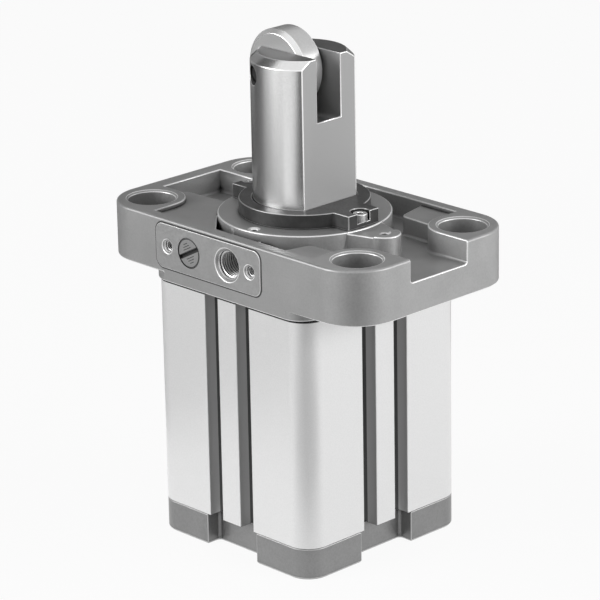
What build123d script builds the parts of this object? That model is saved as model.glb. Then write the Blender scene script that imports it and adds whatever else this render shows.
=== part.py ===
from build123d import *
import os
from math import atan2, cos, degrees, radians, sqrt

# Roller stopper cylinder. A spring pushes the rod out and air at the flange port pulls it in.
# Millimetres. The rod axis is Z and the end cap stands on Z = 0. The flange is long in X,
# its open notch faces +X and its air ports face -Y.

# Bore, rod and travel
piston_d = 50.0
rod_d = 32.0
stroke = 30.0

# Square body
body_w = 68.0
body_corner_r = 7.5
cap_h = 10.1
barrel_len = 74.0
collar_h = 2.9

# Sensor grooves, two on each side with a rib between them
groove_w = 5.7
groove_wall = 3.4
groove_rib_w = 8.0
cap_notch_w = 22.0
cap_notch_depth = 5.0
cap_notch_corner_r = 1.0
cap_edge_chamfer = 0.5

# Flange plate and its mounting holes
flange_len = 114.0
flange_w = 70.0
flange_t = 17.4
flange_corner_r = 14.3
flange_edge_r = 0.8
mount_end_inset = 11.75
mount_dy = 45.5
mount_hole_d = 9.0
mount_cbore_d = 15.0
mount_cbore_depth = 9.0
mount_chamfer = 0.6

# Cast pockets in the flange top
rim_t = 4.0
end_wall_t = 5.7
pocket_depth = 7.4
pocket_floor_r = 1.0
post_r = 10.6
shelf_depth = 1.4
port_land_depth = 2.6
port_land_inner_y = -26.0
port_cover = 0.2
port_land_left_x = -5.1
port_land_right_x = 17.5
left_shelf_outer_y = -7.9
left_shelf_inner_y = -6.65
right_shelf_inner_x = 22.4
right_shelf_rim_x = 19.6
right_shelf_inner_y = 19.6
right_shelf_outer_y = 18.8
right_shelf_corner_r = 2.4
shelf_tuck = 3.0
back_block_reach = 16.25
vent_cover = 0.6
vent_feed_cover = 1.4
floor_fillet_share = 0.4
back_post_corner_r = 6.0

# Round boss round the rod, with its screw lug
boss_r = 27.0
boss_rise = 0.4
lug_x = 34.4
lug_tip_r = 5.0
lug_root_half_w = 8.2
lug_root_x = 24.0
lug_hole_d = 2.5
boss_hole_x = 2.8
boss_hole_y = -24.3
boss_hole_d = 2.5
small_hole_depth = 5.0
small_hole_chamfer = 0.6

# Port pad on the -Y side
pad_x = -6.55
pad_len = 46.4
pad_h = 14.4
pad_corner_r = 3.0
pad_rise = 0.3
port_drop = 8.65
port_x = 2.15
port_d = 8.8
port_mouth_d = 10.8
port_depth = 9.0
port_feed_d = 4.4
vent_x = -14.9
vent_d = 9.8
vent_depth = 6.5
vent_feed_d = 6.0
pad_screw_dx = 36.5
pad_screw_x = -6.35
pad_screw_d = 3.3
pad_screw_mouth_d = 4.7
pad_screw_depth = 6.0

# Air ducts inside the castings
air_duct_d = 2.6
vent_duct_d = 3.4
vent_duct_inset = 5.5
vent_cross_d = 3.2

# Long guide under the flange
bush_wall = 2.0
bush_top_drop = 1.5
bush_clearance = 0.05
rod_hole_clearance = 0.5
sleeve_wall = 4.0
spigot_h = 3.0
spigot_clearance = 0.08
rod_seal_h = 4.6
rod_seal_wall = 3.8
rod_seal_groove_h = 5.0
rod_seal_lip_h = 2.0
rod_seal_lip_gap = 1.4
seal_land = 1.5
bumper_t = 1.5
bumper_w = 4.5
bumper_sunk = 1.0
bumper_inset = 0.2
stop_gap = 0.2

# O-rings between barrel, flange and cap
o_ring_section = 1.8
o_ring_groove_w = 2.0
o_ring_edge = 0.5

# Tie bolts, run up through the cap and barrel into the flange
tie_inset = 8.5
tie_d = 5.0
tie_hole_d = 5.6
tie_head_d = 8.5
tie_head_h = 5.0
tie_head_cbore_d = 9.5
tie_head_recess = 5.6
tie_thread_len = 10.0
tie_socket_af = 4.0
tie_socket_depth = 2.6

# Locking ring that keeps the rod from turning
ring_r = 20.4
ring_t = 4.6
ring_gap = 0.3
ring_ear_reach = 25.6
ring_ear_w = 13.0
ring_screw_x = 24.0
ring_screw_cbore_d = 6.0
ring_screw_cbore_depth = 3.1
ring_screw_d = 2.5
ring_screw_hole_gap = 0.15
ring_screw_thread_gap = 0.05
ring_screw_head_d = 4.5
ring_screw_head_h = 2.5
ring_screw_len = 6.0
ring_screw_socket_af = 2.0
ring_screw_socket_depth = 1.3

# Rod above the flange, at rest with the rod out
rod_reach = 51.2
rod_flat_x = 11.35
rod_flat_drop = 7.5
rod_top_chamfer = 2.3
slot_w = 10.0
slot_floor_rise = 31.3
rod_bore_d = 24.0
rod_bore_drop = 30.0
rod_spigot_wall = 2.0

# Roller and its axle
roller_x = -7.2
roller_rise = 44.75
roller_r = 12.4
roller_side_gap = 0.3
roller_chamfer = 1.3
axle_d = 6.0
axle_recess = 2.4
axle_chamfer = 0.5
axle_hole_clearance = 0.02
roller_bush_wall = 1.5
roller_bush_clearance = 0.04

# Piston and the rings it carries
piston_t = 13.5
piston_clearance = 0.3
piston_ring_gap = 0.1
piston_bore_gap = 0.02
rod_tail_gap = 1.0
seal_groove_h = 3.2
seal_groove_depth = 3.2
band_groove_h = 3.2
band_groove_depth = 1.5
magnet_groove_h = 3.2
magnet_groove_depth = 3.6
ring_slack = 0.1
piston_land = 1.0
circlip_t = 1.5
circlip_wall = 2.6
circlip_groove_depth = 0.8
circlip_slack = 0.05
circlip_mouth_w = 6.0
piston_underside_d = 36.0
piston_hub_t = 8.8

# Spring between the cap and the top of the rod's bore
spring_wire_d = 2.2
spring_mean_d = 20.0
spring_turns = 11
spring_pocket_d = 25.0
spring_pocket_floor = 4.6
spring_end_gap = 0.3

# Vent plug
plug_len = 5.0
plug_clearance = 0.03
plug_slot_w = 1.1
plug_slot_depth = 1.0
plug_slot_tilt = 27.6
plug_chamfer = 0.4

# How far cuts run past a face, and joined shapes into each other
past = 1.0

# Places that follow from the sizes
barrel_z = cap_h
collar_z = cap_h + barrel_len
flange_z = collar_z + collar_h
top_z = flange_z + flange_t
boss_z = top_z + boss_rise
floor_z = top_z - pocket_depth
port_z = top_z - port_drop
bore_r = piston_d / 2
groove_depth = body_w / 2 - bore_r - groove_wall
tie_reach = body_w / 2 - tie_inset
mount_dx = flange_len - 2 * mount_end_inset
back_post_x = back_block_reach - mount_dx / 2
port_land_back_y = max(port_land_inner_y, port_depth + port_cover - flange_w / 2 - pad_rise)
vent_duct_y = -body_w / 2 + vent_duct_inset
rod_r = rod_d / 2
bush_r = rod_r + bush_wall
sleeve_r = bush_r + sleeve_wall
rod_top_z = top_z + rod_reach
roller_z = top_z + roller_rise
slot_floor_z = top_z + slot_floor_rise
cap_spigot_z = cap_h + spigot_h
bumper_rise = bumper_t - stop_gap * 2
piston_in_z = cap_spigot_z + bumper_rise + stop_gap
piston_z = piston_in_z + stroke
piston_top_z = piston_z + piston_t
upper_bumper_z = piston_top_z + stop_gap
sleeve_z = upper_bumper_z + bumper_t
rod_seal_z = sleeve_z + seal_land
bush_z = rod_seal_z + rod_seal_groove_h + seal_land
bush_top_z = top_z - bush_top_drop
rod_bore_top_z = top_z - rod_bore_drop
rod_spigot_r = rod_bore_d / 2 + rod_spigot_wall
roller_w = slot_w - 2 * roller_side_gap
corners = [(sx, sy) for sx in (-1, 1) for sy in (-1, 1)]


def prism(sketch, z, height):
    """A sketch drawn on the XY plane, raised to z and extruded upwards."""
    return Pos(0, 0, z) * extrude(sketch, amount=height)


def rod_round(radius, z, height):
    """A cylinder on the rod axis, standing on z."""
    return Pos(0, 0, z) * Cylinder(radius, height, align=(Align.CENTER, Align.CENTER, Align.MIN))


def tube(outer_r, inner_r, z, height):
    """A plain ring on the rod axis, standing on z."""
    return rod_round(outer_r, z, height) - rod_round(inner_r, z, height)


def post(x, y, z, radius, height):
    """A vertical cylinder at x, y, standing on z."""
    return Pos(x, y, 0) * rod_round(radius, z, height)


def drill_y(x, z, radius, depth, start_y):
    """A round hole sunk from start_y towards +Y."""
    return Pos(x, start_y, z) * Rot(-90, 0, 0) * Cylinder(
        radius, depth, align=(Align.CENTER, Align.CENTER, Align.MIN))


def drill_point_y(x, z, mouth_d, hole_d, start_y):
    """The 45 degree countersink at the mouth of a hole sunk towards +Y."""
    depth = (mouth_d - hole_d) / 2
    return Pos(x, start_y, z) * Rot(-90, 0, 0) * Cone(
        mouth_d / 2, hole_d / 2, depth, align=(Align.CENTER, Align.CENTER, Align.MIN))


def countersink(x, y, z, hole_d, size):
    """The 45 degree countersink at the mouth of a vertical hole whose face is at z."""
    return Pos(x, y, z - size) * Cone(
        hole_d / 2, hole_d / 2 + size, size, align=(Align.CENTER, Align.CENTER, Align.MIN))


def rect_between(x0, x1, y0, y1):
    """A rectangle between two x and two y values."""
    return Pos((x0 + x1) / 2, (y0 + y1) / 2) * Rectangle(abs(x1 - x0), abs(y1 - y0))


def hexagon(across_flats):
    """A hexagon of the given width across its flats."""
    return RegularPolygon(across_flats / sqrt(3), 6)


def body_outline(depth=body_w):
    """The rounded square of the body."""
    return RectangleRounded(body_w, depth, body_corner_r)


def on_each_side(cut, offset=0.0):
    """The same cut in the middle of each side of the square body, moved along the side."""
    cuts = Sketch()
    for turn in range(4):
        cuts += Rot(0, 0, 90 * turn) * Pos(offset, -body_w / 2) * cut
    return cuts


def tie_holes(radius, z, height):
    """Four holes or bolts at the tie bolt places."""
    return [post(sx * tie_reach, sy * tie_reach, z, radius, height) for sx, sy in corners]


def o_ring_groove(z):
    """The groove for an O-ring round a spigot."""
    return tube(bore_r + past, bore_r - o_ring_section, z, o_ring_groove_w)


def o_ring(groove_z):
    """An O-ring in its groove, just inside the bore."""
    section_r = (o_ring_section - spigot_clearance) / 2
    mean_r = bore_r - spigot_clearance / 2 - section_r
    return Pos(0, 0, groove_z + o_ring_groove_w / 2) * Torus(mean_r, section_r)


def cap_groove_z():
    return cap_h + o_ring_edge


def flange_groove_z():
    return collar_z - o_ring_edge - o_ring_groove_w


def make_end_cap():
    notch = RectangleRounded(cap_notch_w, 2 * cap_notch_depth, cap_notch_corner_r)
    outline = body_outline() - on_each_side(notch)
    cap = prism(outline, 0, cap_h)
    cap += rod_round(bore_r - spigot_clearance, cap_h, spigot_h)
    cap -= o_ring_groove(cap_groove_z())
    cap -= rod_round(spring_pocket_d / 2, spring_pocket_floor, cap_spigot_z)
    for hole in tie_holes(tie_hole_d / 2, 0, cap_h):
        cap -= hole
    for recess in tie_holes(tie_head_cbore_d / 2, 0, tie_head_recess):
        cap -= recess
    cap -= tube(bumper_outer_r(), bumper_outer_r() - bumper_w, cap_spigot_z - bumper_sunk,
                bumper_sunk + past)
    # The vent duct comes down beside the bore and turns in to the spring pocket
    duct_z = cap_h - vent_duct_d
    cap -= post(vent_x, vent_duct_y, duct_z, vent_duct_d / 2, cap_h)
    reach = sqrt(vent_x ** 2 + vent_duct_y ** 2)
    heading = degrees(atan2(-vent_duct_y, -vent_x))
    cap -= Pos(vent_x, vent_duct_y, duct_z) * Rot(0, 0, heading) * Rot(0, 90, 0) * Cylinder(
        vent_cross_d / 2, reach, align=(Align.CENTER, Align.CENTER, Align.MIN))
    return chamfer(cap.faces().sort_by(Axis.Z)[0].outer_wire().edges(), cap_edge_chamfer)


def bumper_outer_r():
    """The bumpers stay inside the floor of the piston's seal groove."""
    return bore_r - seal_groove_depth - bumper_inset


def make_lower_bumper():
    return tube(bumper_outer_r() - ring_slack, bumper_outer_r() - bumper_w + ring_slack,
                cap_spigot_z - bumper_sunk, bumper_sunk + bumper_rise)


def make_upper_bumper():
    return tube(bumper_outer_r() - ring_slack, rod_r + rod_hole_clearance + ring_slack,
                upper_bumper_z, bumper_t)


def make_cylinder_barrel():
    offset = (groove_rib_w + groove_w) / 2
    outline = body_outline() - Circle(bore_r)
    for side in (-offset, offset):
        outline -= on_each_side(Rectangle(groove_w, 2 * groove_depth), side)
    barrel = prism(outline, barrel_z, barrel_len)
    for hole in tie_holes(tie_hole_d / 2, barrel_z, barrel_len):
        barrel -= hole
    return barrel - post(vent_x, vent_duct_y, barrel_z, vent_duct_d / 2, barrel_len)


def corner_post(sx, sy):
    """The round post about a mounting hole, running out to the flange's edges."""
    x, y = sx * mount_dx / 2, sy * mount_dy / 2
    edge_x, edge_y = sx * (flange_len / 2 + past), sy * (flange_w / 2 + past)
    return (Pos(x, y) * Circle(post_r)
            + rect_between(x - sx * post_r, edge_x, y, edge_y)
            + rect_between(x, edge_x, y - sy * post_r, edge_y))


def back_left_block():
    """The solid casting behind the left pocket."""
    inner_y = mount_dy / 2 - post_r
    x0, y1 = -flange_len / 2 - past, flange_w / 2 + past
    block = rect_between(x0, back_post_x, inner_y, y1)
    corner = block.vertices().sort_by(Axis.X)[-2:].sort_by(Axis.Y)[0]
    return fillet(corner, back_post_corner_r)


def lug_outline():
    """The screw lug that grows out of the round boss towards the notch."""
    lug = Polygon((0, -lug_root_half_w), (0, lug_root_half_w), (lug_root_x, lug_root_half_w),
                  (lug_x, lug_tip_r), (lug_x, -lug_tip_r), (lug_root_x, -lug_root_half_w),
                  align=None)
    return lug + Pos(lug_x, 0) * Circle(lug_tip_r)


def left_shelf():
    """The raised floor over the vent duct. It leaves the boss along a tangent, or further out."""
    rim_y = -flange_w / 2 + rim_t
    touch = boss_r * cos(radians(45))
    feed_corner = vent_x + vent_feed_d / 2 + vent_duct_y
    vent_corner = vent_x + vent_d / 2 - flange_w / 2 - pad_rise + vent_depth
    slope = max(-2 * touch, feed_corner + vent_feed_cover, vent_corner + vent_cover)
    foot_x = slope - rim_y
    left_x = -mount_dx / 2
    return Polygon((left_x, rim_y - past), (left_x, left_shelf_outer_y),
                   (-touch, left_shelf_inner_y), (slope + touch, -touch),
                   (foot_x, rim_y), (foot_x, rim_y - past), align=None)


def right_shelf(side):
    """The raised floor beside a right-hand post: side is -1 in front and 1 behind."""
    rim_y = flange_w / 2 - rim_t
    post_x = mount_dx / 2 - post_r + shelf_tuck
    inner = (right_shelf_inner_x, right_shelf_inner_y)
    shelf = Polygon((right_shelf_rim_x, rim_y + past), (right_shelf_rim_x, rim_y), inner,
                    (post_x, right_shelf_outer_y), (post_x, rim_y + past), align=None)
    shelf = fillet(shelf.vertices().sort_by_distance(inner)[0], right_shelf_corner_r)
    return shelf if side > 0 else mirror(shelf, about=Plane.XZ)


def pocket_floor():
    """The deep floor round the boss, open at the +X end between the posts."""
    rim_y = flange_w / 2 - rim_t
    floor = rect_between(-flange_len / 2 + end_wall_t, flange_len / 2 + past, -rim_y, rim_y)
    for sx, sy in corners:
        floor -= corner_post(sx, sy)
    floor -= back_left_block()
    floor -= Circle(boss_r)
    floor -= lug_outline()
    return floor


def make_flange_head():
    plate = prism(RectangleRounded(flange_len, flange_w, flange_corner_r), flange_z, flange_t)
    plate = fillet(plate.faces().sort_by(Axis.Z)[-1].edges(), flange_edge_r)
    head = plate + prism(body_outline(flange_w), collar_z, collar_h)
    head += Pos(pad_x, -flange_w / 2 + pad_rise, port_z) * Rot(90, 0, 0) * extrude(
        RectangleRounded(pad_len, pad_h, pad_corner_r), amount=2 * pad_rise)
    head += rod_round(bore_r - spigot_clearance, collar_z - spigot_h, spigot_h)
    head += rod_round(sleeve_r, sleeve_z, collar_z - sleeve_z)

    # Pockets, each a floor level less what stands on it
    floor = pocket_floor()
    raised = left_shelf() + right_shelf(-1) + right_shelf(1)
    land = rect_between(port_land_left_x, port_land_right_x, -flange_w / 2, port_land_back_y)
    head -= prism(floor, top_z - shelf_depth, pocket_depth)
    head -= prism(floor - raised, top_z - port_land_depth, pocket_depth)
    head -= prism(floor - raised - land, floor_z, pocket_depth)

    # Boss and lug stand a little proud of the plate
    head += prism(Circle(boss_r) + lug_outline(), top_z - past, boss_rise + past)

    head -= rod_round(rod_r + rod_hole_clearance, sleeve_z, boss_z - sleeve_z)
    head -= rod_round(bush_r, bush_z, bush_top_z - bush_z)
    head -= rod_round(rod_r + rod_seal_wall, rod_seal_z, rod_seal_groove_h)
    head -= o_ring_groove(flange_groove_z())
    for sx, sy in corners:
        x, y = sx * mount_dx / 2, sy * mount_dy / 2
        head -= post(x, y, flange_z, mount_hole_d / 2, flange_t)
        head -= post(x, y, top_z - mount_cbore_depth, mount_cbore_d / 2, mount_cbore_depth)
        head -= countersink(x, y, top_z, mount_cbore_d, mount_chamfer)
    for hole in tie_holes(tie_d / 2, collar_z, tie_thread_len + past):
        head -= hole
    for x, y, hole_d, chamfer_size in (
            (lug_x, 0, lug_hole_d, small_hole_chamfer),
            (boss_hole_x, boss_hole_y, boss_hole_d, small_hole_chamfer),
            (ring_screw_x, 0, ring_screw_d, 0.0), (-ring_screw_x, 0, ring_screw_d, 0.0)):
        head -= post(x, y, boss_z - small_hole_depth, hole_d / 2, small_hole_depth)
        if chamfer_size:
            head -= countersink(x, y, boss_z, hole_d, chamfer_size)
    return fillet(floor_edges(head - port_holes()), floor_fillet_r())


def floor_fillet_r():
    """The corner radius fits between the boss and its neighbours: the rim and the back block."""
    rim_gap = flange_w / 2 - rim_t - boss_r
    corner_x = back_post_x - back_post_corner_r
    corner_y = mount_dy / 2 - post_r + back_post_corner_r
    block_gap = sqrt(corner_x ** 2 + corner_y ** 2) - back_post_corner_r - boss_r
    return min(pocket_floor_r, floor_fillet_share * rim_gap, floor_fillet_share * block_gap)


def floor_edges(head):
    """Where the deep floor meets the walls, posts, boss and raised floors."""
    reach = flange_len / 2 - past
    level = head.edges().filter_by(Plane.XY).filter_by_position(Axis.Z, floor_z, floor_z)
    return level.filter_by_position(Axis.X, -reach, reach)


def port_holes():
    """Air port, vent and the two threaded holes beside them, with the ducts behind."""
    face_y = -flange_w / 2 - pad_rise
    duct_y = -(bush_r + sleeve_r) / 2
    port_feed = duct_y - face_y
    cuts = drill_y(port_x, port_z, port_d / 2, port_depth, face_y)
    cuts += drill_point_y(port_x, port_z, port_mouth_d, port_d, face_y)
    cuts += drill_y(port_x, port_z, port_feed_d / 2, port_feed, face_y)
    cuts += drill_y(vent_x, port_z, vent_d / 2, vent_depth, face_y)
    cuts += drill_y(vent_x, port_z, vent_feed_d / 2, vent_duct_y - face_y, face_y)
    for sx in (-1, 1):
        x = pad_screw_x + sx * pad_screw_dx / 2
        cuts += drill_y(x, port_z, pad_screw_d / 2, pad_screw_depth, face_y)
        cuts += drill_point_y(x, port_z, pad_screw_mouth_d, pad_screw_d, face_y)
    # The air duct runs down inside the guide sleeve and out under the spigot
    exit_z = collar_z - spigot_h - air_duct_d
    cuts += post(port_x, duct_y, exit_z, air_duct_d / 2, port_z - exit_z)
    cuts += drill_y(port_x, exit_z, air_duct_d / 2, bore_r + duct_y, -bore_r)
    cuts += post(vent_x, vent_duct_y, collar_z, vent_duct_d / 2, port_z - collar_z)
    return cuts


def make_guide_bush():
    return tube(bush_r, rod_r + bush_clearance, bush_z, bush_top_z - bush_z)


def make_rod_seal():
    """A lip seal: a square heel with two lips that open towards the air."""
    outer_r = rod_r + rod_seal_wall - ring_slack
    inner_r = rod_r + ring_slack
    seal = tube(outer_r, inner_r, rod_seal_z + ring_slack, rod_seal_h)
    middle_r = (outer_r + inner_r) / 2
    return seal - tube(middle_r + rod_seal_lip_gap / 2, middle_r - rod_seal_lip_gap / 2,
                       rod_seal_z + ring_slack, rod_seal_lip_h)


def make_tie_bolts():
    shank_z = tie_head_recess
    shank_len = collar_z + tie_thread_len - shank_z
    shanks = tie_holes(tie_d / 2, shank_z, shank_len)
    heads = tie_holes(tie_head_d / 2, shank_z - tie_head_h, tie_head_h)
    bolts = []
    for (sx, sy), shank, head in zip(corners, shanks, heads):
        socket = Pos(sx * tie_reach, sy * tie_reach, shank_z - tie_head_h) * extrude(
            hexagon(tie_socket_af), amount=tie_socket_depth)
        bolts.append(shank + head - socket)
    return bolts


def make_locking_ring():
    """Flat ring with two ears. Its hole has the rod's D shape."""
    hole = Circle(rod_r + ring_gap) & rect_between(-rod_d, rod_flat_x + ring_gap, -rod_d, rod_d)
    ring = prism(Circle(ring_r) + Rectangle(2 * ring_ear_reach, ring_ear_w) - hole, boss_z, ring_t)
    for side in (-1, 1):
        x = side * ring_screw_x
        ring -= post(x, 0, boss_z, ring_screw_d / 2 + ring_screw_hole_gap, ring_t)
        ring -= post(x, 0, boss_z + ring_t - ring_screw_cbore_depth, ring_screw_cbore_d / 2,
                     ring_screw_cbore_depth)
    return ring


def make_ring_screws():
    seat_z = boss_z + ring_t - ring_screw_cbore_depth
    screws = []
    for side in (-1, 1):
        x = side * ring_screw_x
        screw = post(x, 0, seat_z, ring_screw_head_d / 2, ring_screw_head_h)
        screw += post(x, 0, seat_z - ring_screw_len, ring_screw_d / 2 - ring_screw_thread_gap,
                      ring_screw_len + past)
        socket = Pos(x, 0, seat_z + ring_screw_head_h - ring_screw_socket_depth) * extrude(
            hexagon(ring_screw_socket_af), amount=ring_screw_socket_depth)
        screws.append(screw - socket)
    return screws


def make_vent_plug():
    """Slotted plug that sits flush in the pad's left port."""
    face_y = -flange_w / 2 - pad_rise
    plug = drill_y(vent_x, port_z, vent_d / 2 - plug_clearance, plug_len, face_y)
    plug = chamfer(plug.edges().group_by(Axis.Y)[0], plug_chamfer)
    slot = Pos(vent_x, face_y, port_z) * Rot(0, -plug_slot_tilt, 0) * Box(
        vent_d + past, 2 * plug_slot_depth, plug_slot_w)
    return plug - slot


def make_piston_rod():
    """Round rod with a flat towards +X, forked at the top for the roller."""
    rod = rod_round(rod_r, piston_top_z, rod_top_z - piston_top_z)
    rod = chamfer(rod.edges().sort_by(Axis.Z)[-1], rod_top_chamfer)
    rod += rod_round(rod_spigot_r, piston_z + rod_tail_gap, piston_t - rod_tail_gap)
    flat_z = top_z - rod_flat_drop
    rod -= Pos(rod_flat_x, 0, flat_z) * Box(rod_d, 2 * rod_d, rod_top_z, align=(
        Align.MIN, Align.CENTER, Align.MIN))
    rod -= Pos(0, 0, slot_floor_z) * Box(2 * rod_d, slot_w, rod_top_z, align=(
        Align.CENTER, Align.CENTER, Align.MIN))
    rod -= rod_round(rod_bore_d / 2, 0, rod_bore_top_z)
    hole_r = axle_d / 2 + axle_hole_clearance
    rod -= drill_y(roller_x, roller_z, hole_r, 2 * rod_d, -rod_d)
    rod -= tube(rod_spigot_r + past, rod_spigot_r - circlip_groove_depth, circlip_z(), circlip_t)
    return rod


def circlip_z():
    return piston_top_z - piston_hub_t - circlip_t


def make_piston():
    """Disc on the rod's spigot with grooves for seal, magnet and guide band."""
    outer_r = bore_r - piston_clearance
    piston = tube(outer_r, rod_spigot_r + piston_bore_gap, piston_z, piston_t)
    piston -= rod_round(piston_underside_d / 2, piston_z, piston_t - piston_hub_t)
    for z, height, depth in piston_grooves():
        piston -= tube(bore_r + past, bore_r - depth, z, height)
    return piston


def piston_grooves():
    """Height above Z = 0, width and depth of the seal, magnet and band grooves."""
    seal_z = piston_top_z - piston_land - seal_groove_h
    magnet_z = seal_z - piston_land - magnet_groove_h
    band_z = magnet_z - piston_land - band_groove_h
    return [(seal_z, seal_groove_h, seal_groove_depth),
            (magnet_z, magnet_groove_h, magnet_groove_depth),
            (band_z, band_groove_h, band_groove_depth)]


def groove_ring(index, outer_gap):
    """A ring that fills one of the piston's grooves, less its slack."""
    z, height, depth = piston_grooves()[index]
    return tube(bore_r - outer_gap, bore_r - depth + ring_slack / 2, z + ring_slack,
                height - 2 * ring_slack)


def make_piston_circlip():
    """Open spring ring in the groove at the end of the rod."""
    inner_r = rod_spigot_r - circlip_groove_depth + circlip_slack
    ring = tube(inner_r + circlip_wall, inner_r, circlip_z() + circlip_slack,
                circlip_t - 2 * circlip_slack)
    mouth = Pos(0, -inner_r, circlip_z()) * Box(circlip_mouth_w, 4 * circlip_wall, 4 * circlip_t)
    return ring - mouth


def make_roller_axle():
    half = sqrt(rod_r ** 2 - roller_x ** 2) - axle_recess
    pin = drill_y(roller_x, roller_z, axle_d / 2, 2 * half, -half)
    return chamfer(pin.edges().filter_by(GeomType.CIRCLE), axle_chamfer)


def make_roller():
    bush_outer_r = axle_d / 2 + roller_bush_clearance + roller_bush_wall
    roller = drill_y(roller_x, roller_z, roller_r, roller_w, -roller_w / 2)
    roller = chamfer(roller.edges().filter_by(GeomType.CIRCLE), roller_chamfer)
    return roller - drill_y(roller_x, roller_z, bush_outer_r, roller_w, -roller_w / 2)


def make_roller_bush():
    inner_r = axle_d / 2 + roller_bush_clearance
    bush = drill_y(roller_x, roller_z, inner_r + roller_bush_wall, roller_w, -roller_w / 2)
    return bush - drill_y(roller_x, roller_z, inner_r, roller_w, -roller_w / 2)


def make_return_spring():
    """Compression spring with ground ends."""
    low = spring_pocket_floor + spring_end_gap / 2
    high = rod_bore_top_z - spring_end_gap / 2
    length = high - low
    pitch = (length + spring_wire_d) / spring_turns
    path = Helix(pitch, length + spring_wire_d, spring_mean_d / 2)
    section = Plane(origin=path @ 0, z_dir=path % 0) * Circle(spring_wire_d / 2)
    coil = Pos(0, 0, low - spring_wire_d / 2) * sweep(section, path, is_frenet=True)
    return coil & rod_round(spring_mean_d, low, length)


parts = {
    "end_cap": make_end_cap(),
    "cylinder_barrel": make_cylinder_barrel(),
    "flange_head": make_flange_head(),
    "guide_bush": make_guide_bush(),
    "rod_seal": make_rod_seal(),
    "upper_o_ring": o_ring(flange_groove_z()),
    "lower_o_ring": o_ring(cap_groove_z()),
    "tie_bolts": make_tie_bolts(),
    "vent_plug": make_vent_plug(),
    "locking_ring": make_locking_ring(),
    "ring_screws": make_ring_screws(),
    "upper_bumper": make_upper_bumper(),
    "lower_bumper": make_lower_bumper(),
    "piston_rod": make_piston_rod(),
    "piston": make_piston(),
    "piston_seal": groove_ring(0, piston_ring_gap),
    "magnet_ring": groove_ring(1, piston_clearance),
    "guide_band": groove_ring(2, piston_ring_gap),
    "piston_circlip": make_piston_circlip(),
    "return_spring": make_return_spring(),
    "roller_axle": make_roller_axle(),
    "roller": make_roller(),
    "roller_bush": make_roller_bush(),
}

os.makedirs("parts", exist_ok=True)
for name, shape in parts.items():
    solids = shape if isinstance(shape, list) else shape.solids()
    node = Compound(children=[solid.solid() for solid in solids]) if len(solids) > 1 else solids[0]
    export_step(node, f"parts/{name}.step")
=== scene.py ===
from math import cos, pi, radians, sin

import bmesh
import bpy
from mathutils import Matrix, Vector


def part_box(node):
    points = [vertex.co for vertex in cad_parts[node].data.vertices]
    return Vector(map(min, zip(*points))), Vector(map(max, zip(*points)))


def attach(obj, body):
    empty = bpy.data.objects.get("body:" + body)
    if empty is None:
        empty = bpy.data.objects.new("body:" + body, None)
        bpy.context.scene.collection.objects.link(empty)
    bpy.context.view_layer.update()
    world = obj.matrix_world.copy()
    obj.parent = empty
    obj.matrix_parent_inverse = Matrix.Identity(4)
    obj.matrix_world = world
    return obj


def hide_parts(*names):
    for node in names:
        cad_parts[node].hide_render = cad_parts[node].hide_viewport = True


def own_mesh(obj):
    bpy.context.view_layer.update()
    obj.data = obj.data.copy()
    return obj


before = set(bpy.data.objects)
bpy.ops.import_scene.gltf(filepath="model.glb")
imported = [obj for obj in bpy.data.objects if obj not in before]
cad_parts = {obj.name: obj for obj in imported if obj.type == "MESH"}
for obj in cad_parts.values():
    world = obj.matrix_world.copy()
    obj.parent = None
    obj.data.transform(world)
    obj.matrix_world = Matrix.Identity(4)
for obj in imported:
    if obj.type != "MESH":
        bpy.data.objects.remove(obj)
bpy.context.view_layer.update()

mm = 0.001              # sizes of pieces are given in millimetres, as on a drawing
print("frame loaded")


# Materials: their zones, stretches and depths are in metres, as Object coordinates are

noiseBand = (0.3, 0.7)      # where most values of a noise lie
white = (1, 1, 1, 1)


def greyOf(shade):
    # a screen grey from 0 to 255, as a linear colour
    share = shade / 255
    linear = share / 12.92 if share <= 0.04045 else ((share + 0.055) / 1.055) ** 2.4
    return (linear, linear, linear, 1)


def addNode(tree, kind, inputs=None, **settings):
    # a node with its settings, and a value or another node's socket on each named input
    node = tree.nodes.new(kind)
    for name, value in settings.items():
        setattr(node, name, value)
    for name, value in (inputs or {}).items():
        socket = node.inputs[name]
        if isinstance(value, bpy.types.NodeSocket):
            tree.links.new(value, socket)
        else:
            socket.default_value = value
    return node


def newMaterial(name, **sockets):
    # a material with only its shader, whose constants sit on the shader's own sockets
    material = bpy.data.materials.new(name)
    material.use_nodes = True
    tree = material.node_tree
    shader = tree.nodes["Principled BSDF"]
    for socket, value in sockets.items():
        shader.inputs[socket.replace("_", " ")].default_value = value
    place = addNode(tree, "ShaderNodeTexCoord").outputs["Object"]
    return material, tree, shader, place


def stretched(tree, place, scale):
    # object coordinates with their own scale along x, y and z
    return addNode(tree, "ShaderNodeMapping", {"Vector": place, "Scale": scale}).outputs["Vector"]


def noise(tree, place, scale, detail=3.0, roughness=0.55):
    return addNode(tree, "ShaderNodeTexNoise", {
        "Vector": place, "Scale": scale, "Detail": detail, "Roughness": roughness,
    }).outputs["Fac"]


def ramp(tree, value, low, high, band=noiseBand):
    # maps value from its band to the range low..high
    return addNode(tree, "ShaderNodeMapRange", {
        "Value": value, "From Min": band[0], "From Max": band[1], "To Min": low, "To Max": high,
    }).outputs["Result"]


def measure(tree, kind, first, second=0.0, reach=0.0):
    # one sum on numbers or sockets
    return addNode(tree, "ShaderNodeMath", {0: first, 1: second, 2: reach},
                   operation=kind).outputs[0]


def mixed(tree, share, first, second):
    # the first colour where share is 0 and the second where it is 1
    return addNode(tree, "ShaderNodeMix", {"Factor": share, 6: first, 7: second},
                   data_type="RGBA").outputs[2]


def mottled(tree, pattern, grey, spread, band=noiseBand):
    # a grey that varies by its spread, darker and lighter with the pattern
    share = ramp(tree, pattern, 0, 1, band)
    return mixed(tree, share, greyOf(grey - spread), greyOf(grey + spread))


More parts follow.
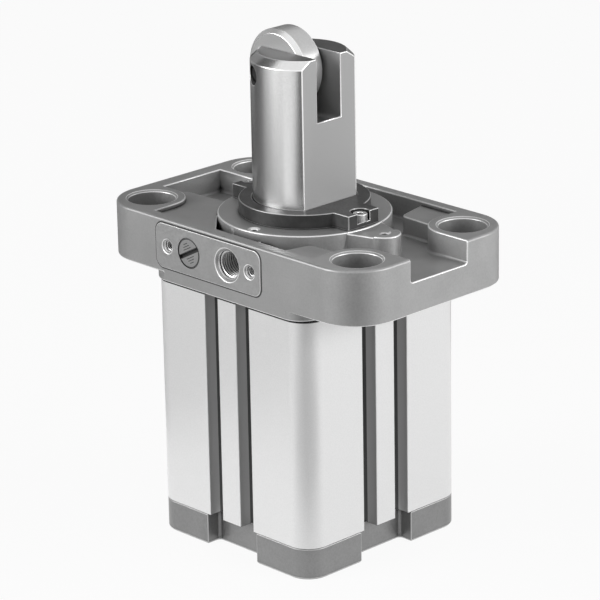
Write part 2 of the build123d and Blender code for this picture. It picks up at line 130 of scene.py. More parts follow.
# painted shade in inner corners and seams, from ambient occlusion
paintedCornerShade = {
    "grey": 26,
    "strength": 0.85,
    "reach": 0.0022,
    "exposure": (0.50, 0.78),   # from fully shaded to unshaded
    "samples": 8,
}


def paintShadeInCorners(tree, colour):
    # painted shade: the colour darkened in inner corners and along seams, where shade falls
    exposed = addNode(tree, "ShaderNodeAmbientOcclusion", {"Distance": paintedCornerShade["reach"]},
                      samples=paintedCornerShade["samples"]).outputs["AO"]
    cornerShade = ramp(tree, exposed, paintedCornerShade["strength"], 0, paintedCornerShade["exposure"])
    return mixed(tree, cornerShade, colour, greyOf(paintedCornerShade["grey"]))


def addBump(tree, shader, height, strength, depth):
    bump = addNode(tree, "ShaderNodeBump", {
        "Height": height, "Strength": strength, "Distance": depth})
    previous = shader.inputs["Normal"]
    if previous.is_linked:
        tree.links.new(previous.links[0].from_socket, bump.inputs["Normal"])
    tree.links.new(bump.outputs["Normal"], previous)


castFinish = {
    "grey": 166,                # screen grey of the blasted casting
    "spread": 6,                # how far the grey varies
    "grain": (1600, 2.0, 0.6),  # a noise's scale per metre, detail and roughness
    "cloud": (70, 3.0),
    "cloudBand": (0.75, 1.25),  # where most sums of grain and cloud lie
    "bump": (0.5, 0.00002),     # strength and depth
    "metallic": 0.45,
    "roughness": (0.36, 0.52),
}
capFinish = {**castFinish, "grey": 138, "metallic": 0.6, "roughness": (0.30, 0.42)}


def castMetal(name, finish):
    material, tree, shader, place = newMaterial(name, Metallic=finish["metallic"])
    grain = noise(tree, place, *finish["grain"])
    cloud = noise(tree, place, *finish["cloud"])
    colour = mottled(tree, measure(tree, "ADD", grain, cloud), finish["grey"], finish["spread"],
                     finish["cloudBand"])
    tree.links.new(paintShadeInCorners(tree, colour), shader.inputs["Base Color"])
    tree.links.new(ramp(tree, grain, *finish["roughness"]), shader.inputs["Roughness"])
    addBump(tree, shader, grain, *finish["bump"])
    return material


barrelFinish = {
    "grey": 235,
    "spread": 3,
    "speckle": (2200, 2.0, 0.6),
    "lines": (2500, 2.0, 0.6),      # left by drawing the extrusion
    "lineStretch": (1, 1, 0.01),
    "lineBump": (0.4, 0.000004),
    "grooveShadeGrey": 184,              # painted shade inside the sensor grooves:
    "ribFace": 0.0337,              # nearer the axis than this
    "grooveReach": 0.0103,          # and within this of the middle of a side
    "deepGrooveShadeGrey": 84,                 # darker painted shade deep in them:
    "deepFrom": 0.0298,             # nearer the axis than this
    "seamAndShadowGrey": 34,                 # dark in the barrel's seams: a dark joint at the cap, and a painted shadow under the flange's overhang:
    "seamAndShadowHeights": (0.01030, 0.08330),    # below and above these heights
    "metallic": 0.30,
    "roughness": (0.32, 0.42),
}
# the barrel's broken edges: rubbed paler, and paler still as a painted highlight
barrelEdgeHighlightFinish = {**barrelFinish, "grey": 244, "metallic": 0.4}


def barrelMetal(name, finish):
    material, tree, shader, place = newMaterial(name, Metallic=finish["metallic"])
    speckle = noise(tree, place, *finish["speckle"])
    lines = noise(tree, stretched(tree, place, finish["lineStretch"]), *finish["lines"])
    face = mottled(tree, speckle, finish["grey"], finish["spread"])
    split = addNode(tree, "ShaderNodeSeparateXYZ", {"Vector": place})
    across = [measure(tree, "ABSOLUTE", split.outputs[axis]) for axis in ("X", "Y")]
    outermost = measure(tree, "MAXIMUM", *across)
    between = measure(tree, "LESS_THAN", measure(tree, "MINIMUM", *across), finish["grooveReach"])
    # the grooves are painted darker as shade, darkest deep in them
    grooveShade, deepGrooveShade = (
        measure(tree, "MULTIPLY", measure(tree, "LESS_THAN", outermost, finish[limit]), between)
        for limit in ("ribFace", "deepFrom"))
    colour = mixed(tree, grooveShade, face, greyOf(finish["grooveShadeGrey"]))
    colour = paintShadeInCorners(tree, mixed(tree, deepGrooveShade, colour, greyOf(finish["deepGrooveShadeGrey"])))
    # a dark joint at the cap, and a painted shadow where the flange overhangs the barrel
    lower = measure(tree, "LESS_THAN", split.outputs["Z"], finish["seamAndShadowHeights"][0])
    upper = measure(tree, "GREATER_THAN", split.outputs["Z"], finish["seamAndShadowHeights"][1])
    seamAndPaintedShade = measure(tree, "MAXIMUM", lower, upper)
    colour = mixed(tree, seamAndPaintedShade, colour, greyOf(finish["seamAndShadowGrey"]))
    tree.links.new(colour, shader.inputs["Base Color"])
    tree.links.new(ramp(tree, speckle, *finish["roughness"]), shader.inputs["Roughness"])
    addBump(tree, shader, lines, *finish["lineBump"])
    return material


turnedGrain = {"detail": 2.0, "spread": 8, "strength": 0.5}


def turnedMetal(name, grey, metallic, roughness, fine=3000, depth=0.000004):
    # plain machined metal with a fine grain, for screws, threads, rubbed edges made paler partly
    # as a painted highlight, and the pin and hollows painted dark as shade
    material, tree, shader, place = newMaterial(name, Metallic=metallic, Roughness=roughness)
    grain = noise(tree, place, fine, turnedGrain["detail"])
    tree.links.new(mottled(tree, grain, grey, turnedGrain["spread"]), shader.inputs["Base Color"])
    addBump(tree, shader, grain, turnedGrain["strength"], depth)
    return material


rodFinish = {
    "grey": 226,                # ground round the outside
    "spread": 4,
    "speckle": (1900, 3.0, 0.7),
    "speckleBand": (0.35, 0.65),
    "speckleBump": (0.25, 0.000006),
    "rings": (4000, 2.0),       # grinding marks, which run round the rod
    "ringStretch": (0.02, 0.02, 1),
    "ringBump": (0.3, 0.000003),
    "flatGrey": 142,            # the milled flat
    "flatFrom": 0.0112,         # beyond this x
    "topShadeGrey": 100,             # the turned top, duller and also painted darker as shade
    "topFrom": 0.1555,          # above this z
    "slotShadeGrey": 150,            # the walls and floor of the slot for the roller, milled and also painted darker as shade
    "slotReach": 0.00505,       # within this of the middle, across the slot
    "slotFrom": 0.1356,         # and above this z
    "metallic": 1.0,
    "anisotropy": 0.5,
    "roughness": (0.24, 0.45),  # ground, then milled or turned
}


def rodMetal(name, finish):
    # ground round the outside, with a duller milled flat, and a turned top and milled slot that
    # are also painted darker as shade
    material, tree, shader, place = newMaterial(name, Metallic=finish["metallic"],
                                                Anisotropic=finish["anisotropy"])
    speckle = noise(tree, place, *finish["speckle"])
    colour = mottled(tree, speckle, finish["grey"], finish["spread"], finish["speckleBand"])
    split = addNode(tree, "ShaderNodeSeparateXYZ", {"Vector": place})
    flat = measure(tree, "GREATER_THAN", split.outputs["X"], finish["flatFrom"])
    top = measure(tree, "GREATER_THAN", split.outputs["Z"], finish["topFrom"])
    between = measure(tree, "COMPARE", split.outputs["Y"], 0.0, finish["slotReach"])
    above = measure(tree, "GREATER_THAN", split.outputs["Z"], finish["slotFrom"])
    slot = measure(tree, "MULTIPLY", between, above)
    for zone, grey in ((flat, "flatGrey"), (top, "topShadeGrey"), (slot, "slotShadeGrey")):
        colour = mixed(tree, zone, colour, greyOf(finish[grey]))
    tree.links.new(colour, shader.inputs["Base Color"])
    dull = measure(tree, "MAXIMUM", measure(tree, "MAXIMUM", flat, top), slot)
    tree.links.new(ramp(tree, dull, *finish["roughness"], (0, 1)), shader.inputs["Roughness"])
    rings = noise(tree, stretched(tree, place, finish["ringStretch"]), *finish["rings"])
    addBump(tree, shader, rings, *finish["ringBump"])
    addBump(tree, shader, speckle, *finish["speckleBump"])
    # the marks run round the rod, so highlights stretch along it
    along = addNode(tree, "ShaderNodeCombineXYZ", {"X": 0.0, "Y": 0.0, "Z": 1.0})
    tree.links.new(along.outputs["Vector"], shader.inputs["Tangent"])
    return material


rollerFinish = {
    "grey": 196,
    "spread": 7,
    "grain": (3000, 2.0),
    "grainBump": (0.4, 0.000003),
    "marks": (3500, 2.0),       # of the lathe, round the roller's axis
    "markStretch": (0.03, 1, 0.03),
    "markBump": (0.4, 0.000003),
    "chamferHighlightGrey": 240,         # a painted highlight on the chamfer, at each end
    "chamferMiddle": 0.00405,   # at this distance from the roller's middle,
    "chamferReach": 0.00055,    # give or take this
    "metallic": 0.7,
    "roughness": 0.32,
}


def rollerMetal(name, finish):
    material, tree, shader, place = newMaterial(name, Metallic=finish["metallic"],
                                                Roughness=finish["roughness"])
    grain = noise(tree, place, *finish["grain"])
    marks = noise(tree, stretched(tree, place, finish["markStretch"]), *finish["marks"])
    colour = mottled(tree, grain, finish["grey"], finish["spread"])
    split = addNode(tree, "ShaderNodeSeparateXYZ", {"Vector": place})
    fromMiddle = measure(tree, "ABSOLUTE", split.outputs["Y"])
    chamferHighlight = measure(tree, "COMPARE", fromMiddle, finish["chamferMiddle"], finish["chamferReach"])
    tree.links.new(mixed(tree, chamferHighlight, colour, greyOf(finish["chamferHighlightGrey"])),
                   shader.inputs["Base Color"])
    addBump(tree, shader, marks, *finish["markBump"])
    addBump(tree, shader, grain, *finish["grainBump"])
    return material


ringFinish = {
    "grey": 48,
    "worn": 70,                 # paler worn spots
    "grain": (1500, 2.0),
    "cloud": (160, 4.0, 0.65),
    "cloudBand": (0.4, 0.75),
    "bump": (0.5, 0.000008),
    "roughness": (0.34, 0.46),
}


def blackCoat(name, finish):
    # blackened steel: dark, with a soft sheen
    material, tree, shader, place = newMaterial(name, Metallic=0.0)
    grain = noise(tree, place, *finish["grain"])
    cloud = noise(tree, place, *finish["cloud"])
    colour = mixed(tree, ramp(tree, cloud, 0, 1, finish["cloudBand"]),
                   greyOf(finish["grey"]), greyOf(finish["worn"]))
    tree.links.new(paintShadeInCorners(tree, colour), shader.inputs["Base Color"])
    tree.links.new(ramp(tree, grain, *finish["roughness"]), shader.inputs["Roughness"])
    addBump(tree, shader, grain, *finish["bump"])
    return material


rubberFinish = {"spread": 6, "grain": (900, 3.0), "bump": (0.4, 0.00001), "roughness": 0.7}


def softRubber(name, grey, finish=rubberFinish):
    # rubber, plastic and paint without a gloss
    material, tree, shader, place = newMaterial(name, Metallic=0.0, Roughness=finish["roughness"])
    grain = noise(tree, place, *finish["grain"])
    tree.links.new(mottled(tree, grain, grey, finish["spread"]), shader.inputs["Base Color"])
    addBump(tree, shader, grain, *finish["bump"])
    return material


bronzeFinish = {
    "colour": (0.50, 0.34, 0.17),
    "darker": 0.8,              # the dark grains' share of that colour
    "grain": (2500, 3.0),
    "bump": (0.4, 0.000006),
    "metallic": 0.9,
    "roughness": 0.5,
}


def warmMetal(name, finish):
    material, tree, shader, place = newMaterial(name, Metallic=finish["metallic"],
                                                Roughness=finish["roughness"])
    grain = noise(tree, place, *finish["grain"])
    dark = [finish["darker"] * part for part in finish["colour"]]
    colour = mixed(tree, ramp(tree, grain, 0, 1), (*dark, 1), (*finish["colour"], 1))
    tree.links.new(colour, shader.inputs["Base Color"])
    addBump(tree, shader, grain, *finish["bump"])
    return material


finishes = {
    "castFlange": castMetal("castFlange", castFinish),
    "castCap": castMetal("castCap", capFinish),
    "barrel": barrelMetal("anodisedBarrel", barrelFinish),
    "barrelEdgeWearAndHighlight": barrelMetal("rubbedBarrelHighlight", barrelEdgeHighlightFinish),
    "rod": rodMetal("groundRod", rodFinish),
    "roller": rollerMetal("turnedRoller", rollerFinish),
    "ring": blackCoat("blackRing", ringFinish),
    "bronze": warmMetal("sinteredBronze", bronzeFinish),
    # grey, metallic and roughness
    "thread": turnedMetal("cutThread", 222, 0.3, 0.3, fine=4000, depth=0.000002),
    # painted shade: the dark of thread roots, small bores and the plug's slot
    "paintedHollowShade": turnedMetal("paintedHollowShade", 34, 0.2, 0.5),
    # broken-edge finishes: rubbed paler, and paler still as a painted highlight
    "castEdgeWearAndHighlight": turnedMetal("rubbedCastingHighlight", 243, 0.45, 0.34),
    "capEdgeWearAndHighlight": turnedMetal("rubbedCapHighlight", 190, 0.45, 0.4),
    "coatEdgeWearAndHighlight": turnedMetal("rubbedCoatHighlight", 176, 0.7, 0.35),
    "steelEdgeWearAndHighlight": turnedMetal("rubbedSteelHighlight", 244, 0.9, 0.25),
    # the axle's pin is painted near-black as shade in its bore
    "paintedShadePin": turnedMetal("paintedShadePinSteel", 32, 0.5, 0.5),
    "screw": turnedMetal("platedScrew", 205, 0.8, 0.28),
    "tieBolt": turnedMetal("platedBolt", 150, 0.7, 0.38),
    "plug": turnedMetal("ventPlug", 150, 0.35, 0.45),
    "spring": turnedMetal("springWire", 110, 0.8, 0.4),
    "piston": turnedMetal("turnedPiston", 190, 0.6, 0.35),
    # grey
    "mark": softRubber("engravedMark", 48),
    # painted shade for the seams round the port pad and the vent plug
    "seamAndPaintedShade": softRubber("paintedShadowSeam", 62),
    "seal": softRubber("sealRubber", 34),
    "bumper": softRubber("bumperRubber", 52),
    "magnet": softRubber("bondedMagnet", 60),
    "band": softRubber("guideBand", 96),
}
print("materials made")


# Inner pieces keep the frame's own shapes

innerPieces = {
    "guide_bush": "bronze", "rod_seal": "seal", "upper_o_ring": "seal", "lower_o_ring": "seal",
    "upper_bumper": "bumper", "lower_bumper": "bumper", "piston": "piston", "piston_seal": "seal",
    "magnet_ring": "magnet", "guide_band": "band", "piston_circlip": "spring",
}
for node, finish in innerPieces.items():
    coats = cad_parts[node].data.materials
    coats.clear()
    coats.append(finishes[finish])


# Machined and cast pieces: copies of the frame's shapes with their edges broken

sameSpot = 1e-6         # metres: points nearer than this are one
dressing = {            # the edge is its width, and worn the finish of the broken edges: rubbed paler and paler still as a painted highlight, or dark as painted shade on the vent plug and the axle pin
    "flange_head": {"edge": 0.36, "finish": "castFlange", "worn": "castEdgeWearAndHighlight", "body": "housing"},
    "end_cap": {"edge": 0.25, "finish": "castCap", "worn": "capEdgeWearAndHighlight", "body": "housing"},
    "cylinder_barrel": {"edge": 0.25, "finish": "barrel", "worn": "barrelEdgeWearAndHighlight", "body": "housing"},
    "locking_ring": {"edge": 0.25, "finish": "ring", "worn": "coatEdgeWearAndHighlight", "body": "housing"},
    "ring_screws": {"edge": 0.20, "finish": "screw", "worn": "steelEdgeWearAndHighlight", "body": "housing"},
    "tie_bolts": {"edge": 0.25, "finish": "tieBolt", "worn": "steelEdgeWearAndHighlight", "body": "housing"},
    # the vent plug's broken edges are painted dark as shade round the plug
    "vent_plug": {"edge": 0.18, "finish": "plug", "worn": "seamAndPaintedShade", "body": "housing"},
    "piston_rod": {"edge": 0.25, "finish": "rod", "worn": "steelEdgeWearAndHighlight", "body": "rod"},
    # the axle's end is painted near-black as shade
    "roller_axle": {"edge": 0.10, "finish": "paintedShadePin", "worn": "paintedShadePin", "body": "rod"},
    "roller": {"edge": 0.15, "finish": "roller", "worn": "steelEdgeWearAndHighlight", "body": "roller"},
    "roller_bush": {"edge": 0.10, "finish": "bronze", "worn": "bronze", "body": "roller"},
}
dressingSlots = {"worn": 1, "shaded": 2}        # slot 0 is the finish; worn holds the paler edges, partly a painted highlight, and shaded the hollows painted dark as shade
edgeBreak = {
    "flat": radians(0.4),       # faces that meet at less than this become one
    "sharp": radians(32),       # edges that bend by more than this are broken
    "steps": 2,
    "faceWeight": 50,           # shading follows the large faces
}
portPad = {"front": -35.15, "edge": 0.18}       # in front of this y only the pad has edges
drilled = {
    "edge": 0.16,               # the width of a fine edge round a hole from above
    "places": (                 # x, y and reach
        (45.25, 22.75, 8.6), (45.25, -22.75, 8.6), (-45.25, 22.75, 8.6), (-45.25, -22.75, 8.6),
        (34.4, 0, 2.2), (2.8, -24.3, 2.2)),
}
smallHoles = {
    "places": ((34.4, 0, 1.95), (2.8, -24.3, 1.95)),
    "countersunk": 104.15,      # above this z is the countersink
}
plugHole = {"x": -14.9, "z": 95.75, "reach": 5.2}      # the plug fills it, so its edge stays whole
plugSlot = {"shadowFrom": 0.5}  # behind the plug's front


def mergedCopy(node):
    # the frame's own shape, with its loose triangles joined
    shape = bmesh.new()
    shape.from_mesh(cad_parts[node].data)
    bmesh.ops.remove_doubles(shape, verts=shape.verts, dist=sameSpot)
    return shape


def asObject(name, shape):
    # the finished shape as an object at the origin
    mesh = bpy.data.meshes.new(name)
    shape.to_mesh(mesh)
    shape.free()
    piece = bpy.data.objects.new(name, mesh)
    bpy.context.scene.collection.objects.link(piece)
    return piece


def nearHole(point, places):
    return any((point.co.xy - Vector((x, y)) * mm).length < reach * mm for x, y, reach in places)


def onPad(point):
    return point.co.y < portPad["front"] * mm


def atPlug(point):
    away = Vector((point.co.x - plugHole["x"] * mm, point.co.z - plugHole["z"] * mm))
    return onPad(point) and away.length < plugHole["reach"] * mm


def paintSlotShade(shape, node):
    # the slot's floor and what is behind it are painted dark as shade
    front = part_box(node)[0].y
    for face in shape.faces:
        if all(point.co.y > front + plugSlot["shadowFrom"] * mm for point in face.verts):
            face.material_index = dressingSlots["shaded"]


def paintSmallHoleHighlightAndShade(shape):
    # the small holes from above: the countersink takes the pale edge finish as a painted
    # highlight, and the bore is painted dark as shade
    for face in shape.faces:
        if all(nearHole(point, smallHoles["places"]) for point in face.verts):
            low = min(point.co.z for point in face.verts)
            isCountersink = low > smallHoles["countersunk"] * mm
            face.material_index = dressingSlots["worn" if isCountersink else "shaded"]


def edgeWidth(line, edge, isFlange):
    # the flange has finer edges on its port pad and round its holes
    if isFlange and all(onPad(point) for point in line.verts):
        return portPad["edge"]
    if isFlange and all(nearHole(point, drilled["places"]) for point in line.verts):
        return drilled["edge"]
    return edge


def weighEdges(shape, edge, isFlange):
    # outer edges are broken, and inner ones and the edge round the plug stay sharp
    weight = shape.edges.layers.float.new("bevel_weight_edge")
    for face in shape.faces:
        face.smooth = True
    for line in shape.edges:
        if not line.is_manifold or line.calc_face_angle() < edgeBreak["sharp"]:
            continue
        if line.is_convex and not (isFlange and all(atPlug(point) for point in line.verts)):
            line[weight] = min(1, edgeWidth(line, edge, isFlange) / edge)
        else:
            line.smooth = False


def brokenEdges(node, edge, finish, worn, body):
    shape = mergedCopy(node)
    bmesh.ops.dissolve_limit(shape, angle_limit=edgeBreak["flat"], verts=shape.verts,
                             edges=shape.edges)
    weighEdges(shape, edge, node == "flange_head")
    if node == "flange_head":
        paintSmallHoleHighlightAndShade(shape)
    if node == "vent_plug":
        paintSlotShade(shape, node)
    print(node, "faces", len(shape.faces))
    piece = asObject(node + "_dressed", shape)
    bevel = piece.modifiers.new("brokenEdges", "BEVEL")
    bevel.width = edge * mm
    bevel.segments = edgeBreak["steps"]
    bevel.limit_method = "WEIGHT"
    bevel.use_clamp_overlap = False
    # the broken edges take the paler finish, partly a painted highlight
    bevel.material = dressingSlots["worn"]
    flat = piece.modifiers.new("flatFaces", "WEIGHTED_NORMAL")
    flat.weight = edgeBreak["faceWeight"]
    flat.keep_sharp = True
    for layer in (finish, worn, "paintedHollowShade"):
        piece.data.materials.append(finishes[layer])
    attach(piece, body)
    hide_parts(node)


for node, values in dressing.items():
    brokenEdges(node, **values)


spring = {"node": "return_spring", "finish": "spring", "stroke": 30.0}


def shorteningSpring():
    # a copy of the frame's coil, carried by the housing
    piece = asObject("coiledSpring", mergedCopy(spring["node"]))
    piece.data.materials.append(finishes[spring["finish"]])
    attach(piece, "housing")
    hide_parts(spring["node"])
    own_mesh(piece)


shorteningSpring()
print("castings, barrel, rod, roller and spring dressed")


# Threads in the air port and the small screw holes, and the marks on the vent plug

def turn(shape, degrees, axis, points=None):
    bmesh.ops.rotate(shape, verts=points or shape.verts, cent=(0, 0, 0),
                     matrix=Matrix.Rotation(radians(degrees), 3, axis))


def shift(shape, way, points=None):
    # by a way in metres
    bmesh.ops.translate(shape, verts=points or shape.verts, vec=way)


def addPiece(name, shape, finish):
    # a flat shaded piece, carried by the housing's body
    piece = asObject(name, shape)
    piece.data.shade_flat()
    piece.data.materials.append(finishes[finish])
    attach(piece, "housing")
    return piece


# the thread starts as deep in its hole as its mouth says
padScrewHole = {"down": False, "holeR": 1.65, "crestR": 1.38,
                "pitch": 0.7, "mouth": 0.6, "turns": 7}
topScrewHole = {"down": True, "holeR": 1.25, "crestR": 1.03,
                "pitch": 0.5, "mouth": 1.3, "turns": 6}
threads = {
    "portThread": {"place": (2.15, -35.3, 95.75), "down": False, "holeR": 4.4, "crestR": 3.95,
                   "pitch": 0.907, "mouth": 0.75, "turns": 8},
    "padThreadLeft": {"place": (-24.6, -35.3, 95.75), **padScrewHole},
    "padThreadRight": {"place": (11.9, -35.3, 95.75), **padScrewHole},
    "lugThread": {"place": (34.4, 0.0, 104.8), **topScrewHole},
    "bossThread": {"place": (2.8, -24.3, 104.8), **topScrewHole},
}
threadForm = {
    "stepsRound": 40,
    "rootInset": 0.03,          # the root lies this far inside the hole's wall
    "rootReach": 0.01,          # faces within this of the root are painted dark as its shade
    "outline": (("root", 0), ("root", 0.40), ("crest", 0.58), ("crest", 0.72), ("root", 1)),
    "wall": 0.12,
}


def cutThread(name, place, down, holeR, crestR, pitch, mouth, turns):
    # one pitch of the thread, wound down the wall of its hole, with its root painted dark as shade
    shape = bmesh.new()
    radius = {"root": holeR - threadForm["rootInset"], "crest": crestR}
    points = [shape.verts.new((radius[level] * mm, 0, -share * pitch * mm))
              for level, share in threadForm["outline"]]
    lines = [shape.edges.new(pair) for pair in zip(points, points[1:])]
    stepsRound = threadForm["stepsRound"]
    bmesh.ops.spin(shape, geom=points + lines, cent=(0, 0, 0), axis=(0, 0, 1),
                   dvec=(0, 0, -pitch * mm / stepsRound), angle=2 * pi * turns,
                   steps=stepsRound * turns, use_duplicate=False)
    bmesh.ops.remove_doubles(shape, verts=shape.verts, dist=sameSpot)
    rootFrom = (radius["root"] - threadForm["rootReach"]) * mm
    for face in shape.faces:
        atRoot = all(point.co.xy.length > rootFrom for point in face.verts)
        face.material_index = 1 if atRoot else 0
    shape.normal_update()
    outwards = sum(face.normal.dot(face.calc_center_median().xy.to_3d()) for face in shape.faces)
    if outwards >= 0:           # the thread is seen from the hole's axis
        bmesh.ops.reverse_faces(shape, faces=shape.faces)
    shift(shape, (0, 0, -mouth * mm))
    if not down:
        turn(shape, 90, "X")
    shift(shape, Vector(place) * mm)
    piece = addPiece(name, shape, "thread")
    piece.data.materials.append(finishes["paintedHollowShade"])
    wall = piece.modifiers.new("threadWall", "SOLIDIFY")
    wall.thickness = threadForm["wall"] * mm
    wall.offset = -1


for name, values in threads.items():
    cutThread(name, **values)


plugMarks = {
    "centre": (-14.9, -35.3, 95.75),
    "tilt": 27.6,               # degrees, along the slot
    "rows": ((1.45, 3.6), (2.25, 2.8), (3.05, 1.8)),    # distance from the slot, and length
    "width": 0.22,
    "proud": 0.015,
}


def plugMarking():
    # plain strokes on both sides of the slot
    shape = bmesh.new()
    for side in (-1, 1):
        for gap, length in plugMarks["rows"]:
            bar = bmesh.ops.create_cube(shape, size=1.0)["verts"]
            bmesh.ops.scale(shape, verts=bar, vec=(
                length * mm, 2 * plugMarks["proud"] * mm, plugMarks["width"] * mm))
            shift(shape, (0, 0, side * gap * mm), bar)
    turn(shape, -plugMarks["tilt"], "Y")
    shift(shape, Vector(plugMarks["centre"]) * mm)
    addPiece("plugMarking", shape, "mark")


plugMarking()


padShadeStrip = {
    "centre": (-6.55, -35.0, 95.75),
    "length": 46.4,
    "height": 14.4,
    "corner": 3.0,
    "width": 0.48,
    "proud": 0.03,
    "steps": 32,                # round all four corners
}


def roundedLoop(shape, length, height, corner):
    # a ring of points, whose four quarters move out to the corners of the pad
    loop = bmesh.ops.create_circle(shape, segments=padShadeStrip["steps"], radius=corner * mm)["verts"]
    turn(shape, 180 / padShadeStrip["steps"], "Z", loop)
    for point in loop:
        point.co.x += (length / 2 - corner) * mm * (1 if point.co.x > 0 else -1)
        point.co.y += (height / 2 - corner) * mm * (1 if point.co.y > 0 else -1)
    return {line for point in loop for line in point.link_edges}


def padShadeOutline():
    # a painted shade strip: the dark line in the corner between the port pad and the casting
    shape = bmesh.new()
    lines = set()
    for out in (0, padShadeStrip["width"]):
        lines |= roundedLoop(shape, padShadeStrip["length"] + 2 * out, padShadeStrip["height"] + 2 * out,
                             padShadeStrip["corner"] + out)
    bmesh.ops.bridge_loops(shape, edges=list(lines))
    lifted = bmesh.ops.extrude_face_region(shape, geom=list(shape.faces))["geom"]
    lid = [part for part in lifted if isinstance(part, bmesh.types.BMVert)]
    shift(shape, (0, 0, 2 * padShadeStrip["proud"] * mm), lid)
    bmesh.ops.recalc_face_normals(shape, faces=shape.faces)
    shift(shape, (0, 0, -padShadeStrip["proud"] * mm))
    turn(shape, 90, "X")
    shift(shape, Vector(padShadeStrip["centre"]) * mm)
    addPiece("padShadeOutline", shape, "seamAndPaintedShade")


padShadeOutline()
print("threads, plug marks and pad outline made")


# Studio: floor, soft light and the photograph's view, all in metres

studio = {
    "floorReach": 3.0,
    "floorColour": (0.86, 0.86, 0.86, 1),
    "floorRoughness": 0.9,
    "floorSeen": 0.93,          # how white the camera sees it, over its shadow
    "floorMirrored": 0.9,
    "world": 0.25,
}
lamps = {
    "keyLight": {"azimuth": -118, "rise": 15, "reach": 1.6, "width": 1.05, "height": 0.7,
                 "power": 16.0},
    "sideLight": {"azimuth": 26, "rise": 14, "reach": 1.6, "width": 1.05, "height": 0.7,
                  "power": 14.0},
}
lampsAimAt = (0, 0, 0.08)
# cards and screens that only reflections see, as a studio sets them beside bright metal
cards = {
    "frontCard": {"azimuth": -44, "near": 0.10, "far": 1.6, "width": 0.26, "shade": 0.05},
    "leftCard": {"azimuth": -158, "near": 0.12, "far": 1.2, "width": 0.74, "shade": 0.20},
    "backCard": {"azimuth": 136, "near": 0.16, "far": 1.2, "width": 0.5, "shade": 0.02},
}
screens = {
    "backScreen": {"azimuth": 136, "away": 1.2, "height": 0.9, "width": 1.6, "shade": 0.30},
    "rimScreen": {"azimuth": 170, "away": 0.5, "height": 1.3, "width": 0.30, "shade": 0.36},
    "leftScreen": {"azimuth": -176, "away": 0.6, "height": 1.3, "width": 0.9, "shade": 0.10},
}
cardLift = 0.0005       # the lying cards clear the floor by this
photoView = {
    "place": (0.70652, -0.68542, 0.41681),
    "azimuth": 45.985,
    "elevation": 19.138,
    "roll": -1.035,
    "lens": 200.8,              # lens and sensor in millimetres
    "sensor": 36,
    "clip": (0.05, 20),
}


def makeFloor():
    shape = bmesh.new()
    bmesh.ops.create_grid(shape, x_segments=1, y_segments=1, size=studio["floorReach"])
    floor = asObject("floor", shape)
    material, tree, shader = newMaterial("paleFloor", Roughness=studio["floorRoughness"],
                                         Base_Color=studio["floorColour"])[:3]
    rays = addNode(tree, "ShaderNodeLightPath").outputs
    camera = measure(tree, "MULTIPLY", rays["Is Camera Ray"], studio["floorSeen"])
    mirror = measure(tree, "MULTIPLY", rays["Is Glossy Ray"], studio["floorMirrored"])
    seen = measure(tree, "MAXIMUM", camera, mirror)
    glow = addNode(tree, "ShaderNodeEmission", {"Color": white, "Strength": 1.0})
    mix = addNode(tree, "ShaderNodeMixShader", {0: seen, 1: shader.outputs[0], 2: glow.outputs[0]})
    tree.links.new(mix.outputs[0], tree.nodes["Material Output"].inputs["Surface"])
    floor.data.materials.append(material)


def makeWorld():
    # white where it is seen, and a soft grey light elsewhere
    world = bpy.data.worlds.new("studioWorld")
    bpy.context.scene.world = world
    world.use_nodes = True
    tree = world.node_tree
    tree.nodes.clear()
    rays = addNode(tree, "ShaderNodeLightPath").outputs
    seen = rays["Is Camera Ray"]
    for other in ("Is Glossy Ray", "Is Transmission Ray"):
        seen = measure(tree, "MAXIMUM", seen, rays[other])
    strength = ramp(tree, seen, studio["world"], 1.0, (0, 1))
    glow = addNode(tree, "ShaderNodeBackground", {"Color": white, "Strength": strength})
    out = addNode(tree, "ShaderNodeOutputWorld")
    tree.links.new(glow.outputs[0], out.inputs["Surface"])


def softBox(name, azimuth, rise, reach, width, height, power):
    # an area lamp at this compass angle, rise and distance, aimed at the object
    light = bpy.data.lights.new(name, "AREA")
    light.shape = "RECTANGLE"
    light.size, light.size_y = width, height
    light.energy = power
    lamp = bpy.data.objects.new(name, light)
    bpy.context.scene.collection.objects.link(lamp)
    aim = Vector(lampsAimAt)
    along = reach * cos(radians(rise))
    lamp.location = aim + Vector((cos(radians(azimuth)) * along, sin(radians(azimuth)) * along,
                                  reach * sin(radians(rise))))
    lamp.rotation_euler = (aim - lamp.location).to_track_quat("-Z", "Y").to_euler()


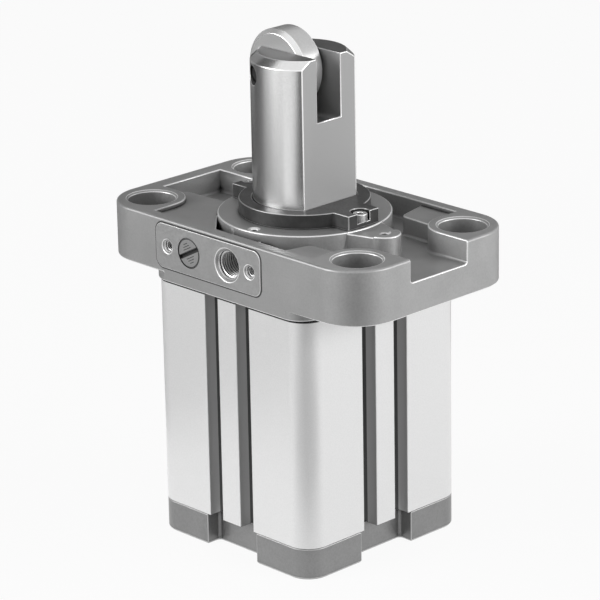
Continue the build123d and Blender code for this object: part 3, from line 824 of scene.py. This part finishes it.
def cloth(length, width):
    shape = bmesh.new()
    bmesh.ops.create_grid(shape, x_segments=1, y_segments=1, size=0.5)
    bmesh.ops.scale(shape, verts=shape.verts, vec=(length, width, 1))
    return shape


def onlyMirrored(name, shape, azimuth, shade):
    # turns a card or screen to its compass angle and hides it from all but reflections
    turn(shape, azimuth, "Z")
    card = asObject(name, shape)
    card.visible_camera = card.visible_diffuse = card.visible_transmission = False
    card.visible_volume_scatter = card.visible_shadow = False
    material = newMaterial(name + "Cloth", Roughness=1.0, Base_Color=(shade, shade, shade, 1))[0]
    card.data.materials.append(material)


def lyingCard(name, azimuth, near, far, width, shade):
    shape = cloth(far - near, width)
    shift(shape, ((near + far) / 2, 0, cardLift))
    onlyMirrored(name, shape, azimuth, shade)


def standingScreen(name, azimuth, away, height, width, shade):
    shape = cloth(height, width)
    turn(shape, 90, "Y")
    shift(shape, (away, 0, height / 2))
    onlyMirrored(name, shape, azimuth, shade)


def makeCamera():
    azimuth, rise, roll = (radians(photoView[name]) for name in ("azimuth", "elevation", "roll"))
    back = Vector((sin(azimuth) * cos(rise), -cos(azimuth) * cos(rise), sin(rise)))
    right = Vector((cos(azimuth), sin(azimuth), 0))
    up = back.cross(right)
    rolledRight = cos(roll) * right + sin(roll) * up
    rolledUp = cos(roll) * up - sin(roll) * right
    lens = bpy.data.cameras.new("photoCamera")
    lens.lens = photoView["lens"]
    lens.sensor_width = photoView["sensor"]
    lens.clip_start, lens.clip_end = photoView["clip"]
    eye = bpy.data.objects.new("photoCamera", lens)
    bpy.context.scene.collection.objects.link(eye)
    eye.matrix_world = Matrix.Translation(photoView["place"]) @ Matrix(
        (rolledRight, rolledUp, back)).transposed().to_4x4()
    bpy.context.scene.camera = eye


makeFloor()
makeWorld()
for name, values in lamps.items():
    softBox(name, **values)
for name, values in cards.items():
    lyingCard(name, **values)
for name, values in screens.items():
    standingScreen(name, **values)
makeCamera()
bpy.context.scene.view_settings.view_transform = "Standard"
print("studio ready")
